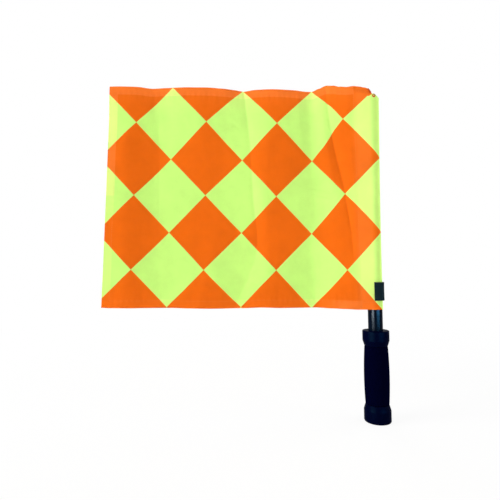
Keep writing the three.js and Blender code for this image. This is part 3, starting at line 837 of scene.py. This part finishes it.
def pocket_path(seam, share, rise):
    """The sleeve's middle line from the front at the seam, round the pole, to the back at the seam."""
    loose = along_height(HOIST_EDGE, share) / SLEEVE_RADIUS
    back_y = SEAM_Y + LAYER_PITCH

    def touch_angle(y, turn):
        return math.atan2(y, seam) + turn * math.acos(SLEEVE_RADIUS / math.hypot(seam, y))

    def round_pole(angle, reach=1.0):
        return Vector((reach * SLEEVE_RADIUS * math.cos(angle), SLEEVE_RADIUS * math.sin(angle)))

    start = touch_angle(SEAM_Y, 1)
    end = touch_angle(back_y, -1) + 2 * math.pi
    front, back = Vector((seam, SEAM_Y)), Vector((seam, back_y))
    points = [front.lerp(round_pole(start), step / STRAIGHT_STEPS) for step in range(STRAIGHT_STEPS)]
    for step in range(ARC_STEPS + 1):
        angle = mix(start, end, step / ARC_STEPS)
        points.append(round_pole(angle, loose if math.cos(angle) > 0 else 1.0))
    points += [round_pole(end).lerp(back, (step + 1) / STRAIGHT_STEPS) for step in range(STRAIGHT_STEPS)]
    if rise <= 0:
        return points
    shoulder = min(rise / CROWN_SHOULDER_RISE, 1.0)
    slant = (max(rise - CROWN_SHOULDER_RISE, 0.0) / (1.0 - CROWN_SHOULDER_RISE)) ** CROWN_HOLLOW
    edge = mix(loose * SLEEVE_RADIUS, CROWN_SHOULDER_X, shoulder)
    edge += (CROWN_CORNER_X - CROWN_SHOULDER_X) * slant
    points = [Vector((min(p.x, edge), p.y)) for p in points]
    pinched = smoothstep(rise / CROWN_PINCH_RISE)
    return [a.lerp(b, pinched) for a, b in zip(points, flat_path(points, seam, edge))]


def flat_path(points, seam, fold_x):
    """The same points on two flat layers joined by a small round fold."""
    runs = [0.0]
    for a, b in zip(points, points[1:]):
        runs.append(runs[-1] + (b - a).length)
    middle = SEAM_Y + LAYER_PITCH / 2
    round_x = fold_x - CROWN_PINCH
    straight = round_x - seam
    total = 2 * straight + math.pi * CROWN_PINCH
    out = []
    for length in runs:
        run = length / runs[-1] * total
        from_seam = min(run, total - run)
        side = -1 if run < total / 2 else 1
        if from_seam <= straight:
            apart = min(CROWN_PINCH, LAYER_PITCH / 2 + from_seam * 0.3)
            out.append(Vector((seam + from_seam, middle + side * apart)))
        else:
            turn = (from_seam - straight) / CROWN_PINCH
            x = round_x + CROWN_PINCH * math.sin(turn)
            out.append(Vector((x, middle + side * CROWN_PINCH * math.cos(turn))))
    return out


def edge_rise(edge, x):
    """A soft curve through the heights given along one edge."""
    at, up = np.asarray(edge["x"]), np.asarray(edge["up"])
    gap = np.clip(np.searchsorted(at, x) - 1, 0, len(at) - 2)
    t = smoothstep((x - at[gap]) / (at[gap + 1] - at[gap]))
    return mix(up[gap], up[gap + 1], t)


def rim_drop(x, y, z):
    """How far the front of the sleeve's rim hangs down, where it stands clear of the pole's cap."""
    clear = smoothstep((np.hypot(x, y) - POLE_RADIUS - RIM_GAP) / RIM_GAP_FADE)
    front = smoothstep(-y / RIM_FRONT_REACH) * smoothstep((x + RIM_HOIST_REACH) / RIM_HOIST_REACH)
    near_top = smoothstep((z - RIM_DROP_FROM) / (CROWN_START - RIM_DROP_FROM))
    return RIM_DROP * clear * front * near_top


def at_crossing_heights(values, z):
    """A curve through values given at the three heights of the crossings."""
    low, middle, high = CROSSING_HEIGHTS
    t = (z - middle) / (high - middle)
    below, at, above = values
    return at + (above - below) / 2 * t + ((above + below) / 2 - at) * t * t


def print_row(z, x, y, panel_count, below):
    """Print coordinates of one row: by the crossings on the panel, by length round the sleeve.

    The crown's rows take the scale and the end of the row below them, as the cloth is folded in there."""
    columns = np.array([at_crossing_heights(xs, z) for xs, _ in CROSSINGS])
    panel_x = x[:panel_count]
    across = np.interp(panel_x, columns, np.arange(len(CROSSINGS)) + FIRST_CROSSING)
    start = int(np.searchsorted(panel_x, columns[-1]))
    first = across[start - 1]
    run = np.cumsum(np.hypot(np.diff(x[start - 1:]), np.diff(y[start - 1:])))
    if below is None:
        seen = x * math.cos(EDGE_TURN) - y * math.sin(EDGE_TURN)
        edge = int(np.argmax(seen))
        scale = -first / run[edge - start]
        end = first + run[-1] * scale
        rest = first + run * scale
        # The front is drawn out evenly to the edge as it is seen from the front
        flat = (seen[start:edge] - seen[start - 1]) / (seen[edge] - seen[start - 1])
        drawn = first * (1.0 - flat + FRONT_BEND * flat * (1.0 - flat))
        rest[:edge - start] = mix(rest[:edge - start], drawn, FRONT_STRETCH)
    else:
        scale, end = below
        rest = first + run * scale
    fold = int(np.argmax(x)) - start
    rest[fold:] = end - (run[-1] - run[fold:]) * scale
    across = np.concatenate([across[:start], rest])
    up = (z - print_creep(z, x, columns) - FIRST_ROW_HEIGHT) / CHECK_HALF
    return np.stack([across, up], axis=1), (scale, end)


def print_creep(z, x, columns):
    """How far the print has crept up; near the top it steps down at the crease next to the sleeve."""
    crept = np.array([at_crossing_heights(up, z) for _, up in CROSSINGS])
    crease = along_height(SLEEVE_CREASE_X, (z - FLAG_BOTTOM) / FLAG_HEIGHT)
    high = min(crease + PRINT_STEP_LEAD, columns[-1] - 1.0)
    step = [high - PRINT_STEP_WIDTH, high]
    full = smoothstep((z - PRINT_STEP_FROM) / PRINT_STEP_FADE)
    stepped = mix(np.interp(step, columns, crept), crept[-2:], full)
    columns = [*columns[:-1], *step, columns[-1], SLEEVE_RADIUS]
    return np.interp(x, columns, [*crept[:-1], *stepped, crept[-1], at_crossing_heights(HOIST_CREEP, z)])


def panel_hems(x, height):
    """Where a row has a turned hem, and how much paler than single cloth each place shows; a band below the
    top hem is also painted paler, as painted light.
    """
    from_fly, from_top = x - fly_x(height / FLAG_HEIGHT), FLAG_HEIGHT - height
    turned_in = (from_fly <= HEM_REACH) | (min(height, from_top) <= HEM_REACH)
    # Painted light: a paler band below the top hem
    painted_top_light = TOP_PAINTED_LIGHT_SHARE * smoothstep(1.0 - (from_top - HEM_WIDTH) / TOP_PAINTED_LIGHT_REACH)
    pale = np.maximum(np.where(turned_in, 1.0, 0.0), painted_top_light)
    if height <= from_top:
        pale = pale * mix(BOTTOM_HEM_SHARE, 1.0, smoothstep((x - BOTTOM_HEM_FROM) / BOTTOM_HEM_FADE))
    return turned_in, pale


def cloth_grid():
    """Middle points, print coordinates, pale shares and thickness, one row for each height."""
    shares = panel_columns()
    heights = row_heights()
    places, prints, hems, thick = [], [], [], []
    row_below = None
    for height in heights:
        share = height / FLAG_HEIGHT
        z = FLAG_BOTTOM + height
        rise = (z - CROWN_START) / CROWN_HEIGHT
        x = mix(fly_x(share), seam_x(share), shares)
        loop = pocket_path(seam_x(share), share, rise)[1:]
        end_x, end_y = loop[-1]
        loop += [Vector((end_x - (step + 1) * BACK_TAIL / TAIL_STEPS, end_y)) for step in range(TAIL_STEPS)]
        all_x = np.concatenate([x, [p.x for p in loop]])
        all_y = np.concatenate([panel_depth(x, height), [p.y for p in loop]])
        lower = edge_rise(BOTTOM_EDGE, all_x) * smoothstep(1.0 - height / BOTTOM_REACH)
        upper = edge_rise(TOP_EDGE, all_x) * smoothstep(1.0 - (FLAG_HEIGHT - height) / TOP_REACH)
        places.append(np.stack([all_x, all_y, z + lower + upper - rim_drop(all_x, all_y, z)], axis=1))

        row, row_below = print_row(z, all_x, all_y, len(x), row_below if rise > 0 else None)
        row[:, 1] += upper / CHECK_HALF
        prints.append(row)

        turned_in, pale = panel_hems(x, height)
        # Paler where the sleeve's cloth lies double, partly as painted light on its front; much less so over
        # the pole, partly as painted shade where it turns away from the light
        doubled_and_painted_light = smoothstep((all_x - DOUBLED_FROM) / DOUBLED_FADE)
        doubled_and_painted_light = doubled_and_painted_light * (1.0 - ON_POLE_LOSS_AND_PAINTED_SHADE * smoothstep((all_x - ON_POLE_FROM) / ON_POLE_FADE))
        hems.append(np.maximum(np.pad(pale, (0, len(loop))), DOUBLED_AND_PAINTED_LIGHT_SHARE * doubled_and_painted_light))
        thick.append(np.where(np.pad(turned_in, (0, len(loop))), HEM_THICKNESS, CLOTH_THICKNESS))
    return {
        "places": np.array(places), "prints": np.array(prints), "hems": np.array(hems),
        "thick": np.array(thick), "heights": heights, "panel_count": len(shares),
    }


def add_faces(grid):
    """Adds the front and back faces, and the normals out of the front; turned hems lie on the back."""
    places = grid["places"]
    seam = grid["panel_count"] - 1
    normals = np.cross(np.gradient(places, axis=1), np.gradient(places, axis=0))
    normals /= np.linalg.norm(normals, axis=2, keepdims=True)
    half = CLOTH_THICKNESS / 2
    from_seam = np.abs(places[..., 0] - places[:, seam:seam + 1, 0])
    rearward = half + (grid["thick"] - CLOTH_THICKNESS) * np.clip(from_seam / HEM_THIN_REACH, 0.0, 1.0)
    grid["front"] = places + normals * half
    grid["back"] = places - normals * rearward[..., None]
    grid["normals"] = normals


def sheet_mesh(name, front, back, sheet_map, map_name, hems=None):
    """A closed sheet between two facing grids, with its own coordinates and its pale shares."""
    rows, columns = front.shape[:2]
    count = rows * columns
    places = np.concatenate([front.reshape(-1, 3), back.reshape(-1, 3)])
    index = np.arange(count).reshape(rows, columns)
    a, b = index[:-1, :-1].ravel(), index[:-1, 1:].ravel()
    c, d = index[1:, 1:].ravel(), index[1:, :-1].ravel()
    faces = [np.stack([a, b, c, d], 1), np.stack([a, d, c, b], 1) + count]
    for line, flip in ((index[0], False), (index[-1], True), (index[:, 0], True), (index[:, -1], False)):
        p, q = line[:-1], line[1:]
        quad = np.stack([p, q, q + count, p + count], 1)
        faces.append(quad if flip else quad[:, ::-1])
    made = mesh_object(name, places, np.concatenate(faces).tolist())
    layer = made.data.uv_layers.new(name=map_name)
    corner = np.empty(len(made.data.loops), int)
    made.data.loops.foreach_get("vertex_index", corner)
    both = np.concatenate([sheet_map.reshape(-1, 2)] * 2)
    layer.data.foreach_set("uv", both[corner].ravel().astype(np.float32))
    if hems is not None:
        share = made.data.attributes.new("hem", "FLOAT", "POINT")
        share.data.foreach_set("value", np.concatenate([hems.ravel()] * 2).astype(np.float32))
    return made


def make_cloth():
    grid = cloth_grid()
    add_faces(grid)
    cloth = sheet_mesh("cloth", grid["front"], grid["back"], grid["prints"], "print", grid["hems"])
    finished(cloth, None, "flag_cloth", "flag_sleeve", "flag_panel")
    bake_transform(cloth)
    return grid


# Stitches

def tube_faces(rings, sides):
    """Faces of a tube of rings with as many places each, with closed ends."""
    faces = []
    for ring in range(rings - 1):
        for side in range(sides):
            a, b = ring * sides + side, ring * sides + (side + 1) % sides
            faces.append((a, b, b + sides, a + sides))
    faces.append(tuple(reversed(range(sides))))
    faces.append(tuple((rings - 1) * sides + side for side in range(sides)))
    return faces


def joined(parts):
    """The places and faces of several parts as one."""
    places, faces, base = [], [], 0
    for part_places, part_faces in parts:
        faces += [tuple(base + index for index in face) for face in part_faces]
        places.append(part_places)
        base += len(part_places)
    return np.concatenate(places), faces


def run_along(line):
    """The length run at each place of a line."""
    return np.concatenate([[0.0], np.cumsum(np.linalg.norm(np.diff(line, axis=0), axis=1))])


def part_way(values, run, at):
    """What lies at one length along a line, from what is given at its places."""
    return np.array([np.interp(at, run, values[:, k]) for k in range(3)])


def stitch_run(line, normals, rng, lift=STITCH_LIFT):
    """Single stitches along a line of places, lying on the side that the normals point to."""
    run = run_along(line)
    angles = [2 * math.pi * side / THREAD_SIDES for side in range(THREAD_SIDES)]
    unit = np.array([(at, wide * math.cos(angle), wide * math.sin(angle))
                     for at, wide in STITCH_RINGS for angle in angles])
    faces = tube_faces(len(STITCH_RINGS), THREAD_SIDES)
    stitches = []
    for number in range(int(run[-1] / STITCH_PITCH)):
        start = number * STITCH_PITCH + STITCH_LEAD
        first, last = part_way(line, run, start), part_way(line, run, start + STITCH_LENGTH)
        normal = part_way(normals, run, start + STITCH_LENGTH / 2)
        normal /= np.linalg.norm(normal)
        along = last - first
        length = np.linalg.norm(along)
        along /= length
        aside = np.cross(normal, along)
        aside /= np.linalg.norm(aside)
        along = along + aside * rng.uniform(-STITCH_SKEW, STITCH_SKEW)
        radius = THREAD_RADIUS * rng.uniform(*THREAD_UNEVEN)
        stitches.append(((
            (first + last) / 2 + normal * lift
            + unit[:, :1] * along * length * STITCH_OVERRUN
            + unit[:, 1:2] * aside * radius * THREAD_FLATTENED
            + unit[:, 2:3] * normal * radius
        ), faces))
    return joined(stitches)


def run_on_cloth(grid, rows, columns, rng, side="front"):
    """Stitches along a row or a column of the cloth, on one of its sides."""
    normals = grid["normals"][rows, columns]
    return stitch_run(grid[side][rows, columns], normals if side == "front" else -normals, rng)


def on_both_sides(grid, rows, columns, rng):
    return joined([run_on_cloth(grid, rows, columns, rng, side) for side in ("front", "back")])


def cloth_tree(grid):
    places = grid["places"].reshape(-1, 3)
    tree = kdtree.KDTree(len(places))
    for index, place in enumerate(places):
        tree.insert(place, index)
    tree.balance()
    return tree


def make_stitches(grid):
    rng = random.Random(SEED)
    tree = cloth_tree(grid)
    prints = grid["prints"].reshape(-1, 2)

    def sewn(name, body, node, run):
        """A piece of stitches that takes the print of the cloth nearest to it."""
        piece = mesh_object(name, *run)
        nearest = [tree.find(vertex.co / MM)[1] for vertex in piece.data.vertices]
        layer = piece.data.uv_layers.new(name="print")
        for loop in piece.data.loops:
            layer.data[loop.index].uv = prints[nearest[loop.vertex_index]]
        return finished(piece, body, "sewing_thread", node)

    # Rows and columns of the cloth's grid
    top_row = len(grid["heights"]) - 1
    top_hem = top_row - STITCH_STOP
    loop = grid["panel_count"]
    seam = loop - 1
    seam_back = grid["places"].shape[1] - 1 - TAIL_STEPS
    panel_span = slice(STITCH_STOP, seam - SEAM_CLEAR_COLUMNS)
    hem_rows = slice(STITCH_STOP, top_hem + 1)
    for name, rows, columns in (
        ("bottom_hem_stitch", STITCH_STOP, panel_span),
        ("top_hem_stitch", top_hem, panel_span),
        ("fly_hem_stitch", hem_rows, STITCH_STOP),
    ):
        sewn(name + "es", "panel", name + "ing", on_both_sides(grid, rows, columns, rng))

    # The run on the back sits in the sleeve's rear layer
    seam_run = joined([
        run_on_cloth(grid, slice(None), seam, rng),
        stitch_run(grid["back"][:, seam_back], grid["normals"][:, seam_back], rng),
    ])
    piece = sewn("seam_stitches", None, "sleeve_seam_stitching", seam_run)
    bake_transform(piece)

    fold = loop + STRAIGHT_STEPS - 1 + ARC_STEPS // 2
    for name, node, row, first, last in (
        ("crown_stitches", "sleeve_crown_stitching", top_row - CROWN_STITCH_ROW, loop + 2, fold - 3),
        ("mouth_stitches_front", "sleeve_hem_stitching_front", STITCH_STOP, loop, loop + MOUTH_FRONT_END),
        ("mouth_stitches_back", "sleeve_hem_stitching_back", STITCH_STOP, loop + MOUTH_BACK_START, seam_back),
    ):
        sewn(name, "sleeve", node, run_on_cloth(grid, row, slice(first, last), rng))


def tube_along(places, radius, sides=TACK_TUBE_SIDES):
    """A thin tube along a smooth curve through a few places, with closed, narrower ends."""
    places = np.asarray(places, float)
    at = np.linspace(0, 1, (len(places) - 1) * TACK_TUBE_STEPS + 1)
    points = [Vector(p) for p in np.stack([along_height(places[:, k], at) for k in range(3)], axis=1)]
    last = len(points) - 1
    surface = []
    normal = None
    for index, point in enumerate(points):
        along = (points[min(index + 1, last)] - points[max(index - 1, 0)]).normalized()
        if normal is None:
            normal = along.orthogonal().normalized()
        normal = (normal - along * normal.dot(along)).normalized()
        aside = along.cross(normal)
        reach = radius * (THREAD_END_SHARE if index in (0, last) else 1.0)
        for side in range(sides):
            angle = 2 * math.pi * side / sides
            surface.append(tuple(point + (normal * math.cos(angle) + aside * math.sin(angle)) * reach))
    return np.array(surface), tube_faces(len(points), sides)


def front_of_fold(row):
    """The front-most place of one row among those that reach furthest to the hoist."""
    outer = row[row[:, 0] > row[:, 0].max() - FOLD_ROUND]
    return outer[np.argmin(outer[:, 1])]


def make_corner_tack(grid):
    """Whip stitches over the slanted hoist corner, in a darker thread, with a frayed end."""
    rng = random.Random(SEED + 1)
    rows = [row for row, height in enumerate(grid["heights"]) if FLAG_BOTTOM + height >= CROWN_START]
    edge = np.array([front_of_fold(row) for row in grid["places"][rows]])
    run = run_along(edge)
    outward = Vector(TACK_OUTWARD)
    parts = []
    for number in range(TACK_LOOPS):
        at = run[-1] * (TACK_FROM_SHARE + TACK_STEP_SHARE * number) + rng.uniform(-0.3, 0.3)
        base = Vector(part_way(edge, run, at))
        width = rng.uniform(1.0, 1.6)
        slant = rng.uniform(0.3, 1.2)
        loop = [
            base + Vector((-1.5 - slant, -width * 0.85, -0.9)),
            base + Vector((-0.5, -width, 0.1)),
            base + outward * 0.75 + Vector((0.0, -0.2, 0.0)),
            base + Vector((-0.1, width, 0.2)),
            base + Vector((-1.3 + slant * 0.4, width * 0.9, -0.9)),
        ]
        parts.append(tube_along(loop, TACK_THREAD_RADIUS * rng.uniform(0.85, 1.2)))
    low = Vector((float(edge[0][0]), 0.0, float(edge[0][2])))
    for radius, offsets in TACK_TAIL:
        parts.append(tube_along([low + Vector(offset) for offset in offsets], radius))
    piece = mesh_object("corner_tack", *joined(parts))
    finished(piece, "sleeve", "corner_thread", "sleeve_corner_tack")


# Keeper tab

def tape_sheet(name, start, end, radius_at, thickness, bottom, top, columns, rows):
    """A curved strip round the pole's axis; angles are in degrees from the front to the hoist."""
    rng = random.Random(SEED + 2)
    phases = [rng.uniform(-1, 1) for _ in range(2)]
    up, share = np.meshgrid(np.arange(rows + 1) / rows, np.arange(columns + 1) / columns, indexing="ij")
    z = mix(bottom, top, up)
    degrees = mix(start, end, share)
    angle = np.radians(degrees - 90)
    radius = radius_at(degrees)
    from_edge = np.minimum(up, 1 - up) * (top - bottom)
    from_end = np.minimum(share, 1 - share) * math.radians(end - start) * radius
    selvedge = SELVEDGE_RISE * np.exp(-((from_edge - SELVEDGE_PLACE) / SELVEDGE_WIDTH) ** 2)
    worn = sum(TAPE_EDGE_DROP * np.maximum(0.0, 1 - away / TAPE_EDGE_WIDTH) for away in (from_edge, from_end))
    wave = 0.05 * np.sin(degrees * 0.31 + phases[0]) + 0.04 * np.sin(up * 9 + phases[1])

    def standing_off(reach):
        return np.stack([reach * np.cos(angle), reach * np.sin(angle), z], axis=2)

    outer = standing_off(radius + thickness + selvedge - worn + wave)
    weave = np.stack([radius * np.radians(degrees), z], axis=2)
    return sheet_mesh(name, outer, standing_off(radius), weave, "weave")


def flap_seat(degrees):
    """How far from the pole's axis the tape's inner side lies: on the loop patch, then on the sleeve."""
    start = PATCH_END_ANGLE + PATCH_END_CLEARANCE
    return mix(FLAP_SEAT, TAPE_SEAT, smoothstep((degrees - start) / (TAPE_STEP_ANGLE - start)))


def make_keeper():
    tape = tape_sheet(
        "keeper_tape", TAPE_FRONT_ANGLE, TAPE_BACK_ANGLE, flap_seat, TAPE_THICKNESS,
        TAPE_BOTTOM, TAPE_TOP, *TAPE_GRID,
    )
    finished(tape, None, "keeper_tape", "keeper_tab_flap", "keeper_tab_base")
    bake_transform(tape)

    margin = math.degrees(PATCH_MARGIN / TAPE_SEAT)
    patch = tape_sheet(
        "loop_patch", TAPE_FRONT_ANGLE + margin, PATCH_END_ANGLE, lambda degrees: TAPE_SEAT, PATCH_THICKNESS,
        TAPE_BOTTOM + PATCH_MARGIN, TAPE_TOP - PATCH_MARGIN, *PATCH_GRID,
    )
    finished(patch, "sleeve", "keeper_tape", "keeper_loop_patch", look="keeper_loops")
    box = mesh_object("tab_stitches", *tab_stitch_box())
    finished(box, "sleeve", "keeper_thread", "keeper_tab_stitching")


def tab_stitch_box():
    """Stitches round the tab's back leg, as the four sides of a box."""
    rng = random.Random(SEED + 3)
    radius = TAPE_SEAT + TAPE_THICKNESS
    inset = math.degrees(TAB_STITCH_INSET / radius)
    first, last = 90 + inset, TAPE_BACK_ANGLE - inset
    low, high = TAPE_BOTTOM + TAB_STITCH_INSET, TAPE_TOP - TAB_STITCH_INSET
    sides = (
        ((first, low), (last, low)), ((first, high), (last, high)),
        ((first, low), (first, high)), ((last, low), (last, high)),
    )
    runs = []
    for (start, bottom), (end, top) in sides:
        shares = np.linspace(0, 1, TAB_STITCH_PLACES)
        angles = np.radians(mix(start, end, shares) - 90)
        normals = np.stack([np.cos(angles), np.sin(angles), np.zeros_like(angles)], axis=1)
        line = radius * normals
        line[:, 2] = mix(bottom, top, shares)
        runs.append(stitch_run(line, normals, rng, lift=TAB_STITCH_LIFT))
    return joined(runs)


# Room, light and camera

def background_share(n):
    """1 for rays that show the background itself, straight or in a reflection."""
    path = n.add("ShaderNodeLightPath").outputs
    seen = n.math("MAXIMUM", path["Is Camera Ray"], path["Is Glossy Ray"])
    return n.math("MAXIMUM", seen, path["Is Transmission Ray"])


def make_floor():
    corners = ((-1, -1), (1, -1), (1, 1), (-1, 1))
    places = [(x * FLOOR_REACH, y * FLOOR_REACH, 0.0) for x, y in corners]
    floor = mesh_object("floor", places, [(0, 1, 2, 3)], smooth=False)
    n = material_nodes("floor_white")
    lit = n.add("ShaderNodeBsdfDiffuse", {"Color": FLOOR_GREY}).outputs[0]
    white = n.add("ShaderNodeEmission", {"Color": WHITE, "Strength": 1.0}).outputs[0]
    place = n.add("ShaderNodeNewGeometry").outputs["Position"]
    far = n.add("ShaderNodeVectorMath", {0: place}, operation="LENGTH").outputs["Value"]
    share = n.math("MULTIPLY", background_share(n), n.remap(far, 0.3, 1.3, 0.9, 1.0))
    floor.data.materials.append(n.surface(n.mix_shader(share, lit, white)))


def make_world():
    world = bpy.data.worlds.new("studio")
    bpy.context.scene.world = world
    n = Nodes(world)
    soft = n.add("ShaderNodeBackground", {"Color": WHITE, "Strength": AMBIENT}).outputs[0]
    white = n.add("ShaderNodeBackground", {"Color": WHITE, "Strength": 1.0}).outputs[0]
    n.add("ShaderNodeOutputWorld", {"Surface": n.mix_shader(background_share(n), soft, white)})


def area_light(name, azimuth, elevation, distance, target, size, power, colour):
    """A lamp aimed at its target, its azimuth in degrees from the front towards the fly."""
    a, e = math.radians(azimuth), math.radians(elevation)
    back = Vector((-math.sin(a) * math.cos(e), -math.cos(a) * math.cos(e), math.sin(e)))
    data = bpy.data.lights.new(name, "AREA")
    data.shape = "RECTANGLE"
    data.size, data.size_y = size
    data.energy = power
    data.color = colour
    lamp = bpy.data.objects.new(name, data)
    lamp.location = Vector(target) + back * distance
    lamp.rotation_euler = (Vector(target) - lamp.location).to_track_quat("-Z", "Y").to_euler()
    lamp.visible_camera = False
    bpy.context.scene.collection.objects.link(lamp)
    return lamp


def make_light():
    for name, azimuth, power, colour in LAMPS:
        area_light(name, azimuth, LAMP_ELEVATION, LAMP_DISTANCE, LAMP_TARGET, LAMP_SIZE, power, colour)
    for name, azimuth, power, colour, width in GLOSS_LAMPS:
        size = (width, GLOSS_HEIGHT)
        lamp = area_light(name, azimuth, 0.0, GLOSS_DISTANCE, GLOSS_TARGET, size, power, colour)
        lamp.visible_diffuse = False
        lamp.visible_transmission = False


def make_camera():
    data = bpy.data.cameras.new("camera")
    data.sensor_width = CAMERA_SENSOR
    data.lens = CAMERA_LENS
    data.clip_start = 0.01
    camera = bpy.data.objects.new("camera", data)
    turn = Matrix((CAMERA_RIGHT, CAMERA_UP, CAMERA_BACK)).transposed().to_4x4()
    camera.matrix_world = Matrix.Translation(Vector(CAMERA_PLACE) * MM) @ turn
    bpy.context.scene.collection.objects.link(camera)
    bpy.context.scene.camera = camera


def main():
    make_camera()
    make_world()
    make_light()
    make_floor()
    make_handle()
    grid = make_cloth()
    make_stitches(grid)
    make_corner_tack(grid)
    make_keeper()
    bpy.context.scene.view_settings.view_transform = "Standard"


main()
